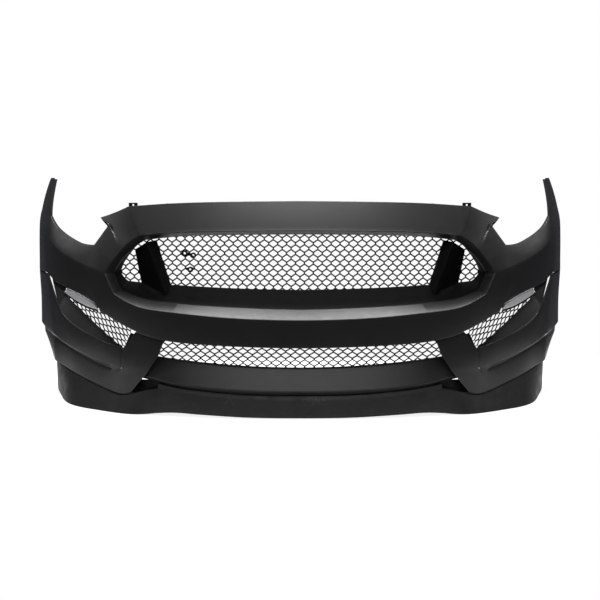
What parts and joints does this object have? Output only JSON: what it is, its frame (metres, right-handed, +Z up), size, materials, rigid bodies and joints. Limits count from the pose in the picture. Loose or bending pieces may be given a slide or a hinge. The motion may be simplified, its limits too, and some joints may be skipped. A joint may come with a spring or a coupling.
{
  "type": "front bumper cover",
  "caption": "Black front bumper cover of a sports coupe: wide upper mesh grille with two blades, lower mesh, side ducts with lamp strips, chin lip and push-pin retainers.",
  "frame": {"origin": "under the middle of the cover's overall box, at the height of the lip's foot", "axes": "+X to the car's left side, which is the viewer's right from the front; the nose faces -Y; +Z up"},
  "size_m": [1.8922, 0.5577, 0.748],
  "materials": {
    "primed_skin": "satin black primer on moulded plastic",
    "black_moulding": "unpainted black plastic",
    "mesh_black": "satin black coated expanded mesh",
    "grained_lip": "fine grained black plastic",
    "lamp_lens": "smoked ribbed lens",
    "reflector": "metallised board",
    "zinc_steel": "zinc plated"
  },
  "bodies": {
    "cover": {"bumper_skin": "primed_skin", "upper_grille_housing": "black_moulding", "upper_grille_mesh": "mesh_black", "mesh_rivets": "zinc_steel", "badge_bracket": "black_moulding", "lower_grille_mesh": "mesh_black", "lower_grille_frame": "black_moulding", "lower_valance": "primed_skin", "chin_lip": "grained_lip", "lip_screws": "zinc_steel", "lip_nuts": "zinc_steel", "hood_tabs": "black_moulding", "retainer_sleeves": "black_moulding", "grille_blade_left": "primed_skin", "grille_blade_right": "primed_skin", "corner_panel_left": "primed_skin", "corner_panel_right": "primed_skin", "duct_mesh_left": "mesh_black", "duct_mesh_right": "mesh_black", "duct_housing_left": "black_moulding", "duct_housing_right": "black_moulding", "lamp_lens_left": "lamp_lens", "lamp_lens_right": "lamp_lens", "lamp_housing_left": "black_moulding", "lamp_housing_right": "black_moulding", "lamp_bezel_left": "black_moulding", "lamp_bezel_right": "black_moulding", "lamp_reflector_left": "reflector", "lamp_reflector_right": "reflector", "fender_bracket_left": "black_moulding", "fender_bracket_right": "black_moulding"},
    "pin_1": {"retainer_pin_1": "black_moulding"},
    "pin_2": {"retainer_pin_2": "black_moulding"},
    "pin_3": {"retainer_pin_3": "black_moulding"},
    "pin_4": {"retainer_pin_4": "black_moulding"}
  },
  "joints": [
    {"name": "pin_1_pull", "type": "slide", "parent": "cover", "child": "pin_1", "axis": [0, 0, 1], "range_m": [0, 0.008]},
    {"name": "pin_2_pull", "type": "slide", "parent": "cover", "child": "pin_2", "axis": [0, 0, 1], "range_m": [0, 0.008]},
    {"name": "pin_3_pull", "type": "slide", "parent": "cover", "child": "pin_3", "axis": [0, 0, 1], "range_m": [0, 0.008]},
    {"name": "pin_4_pull", "type": "slide", "parent": "cover", "child": "pin_4", "axis": [0, 0, 1], "range_m": [0, 0.008]}
  ]
}
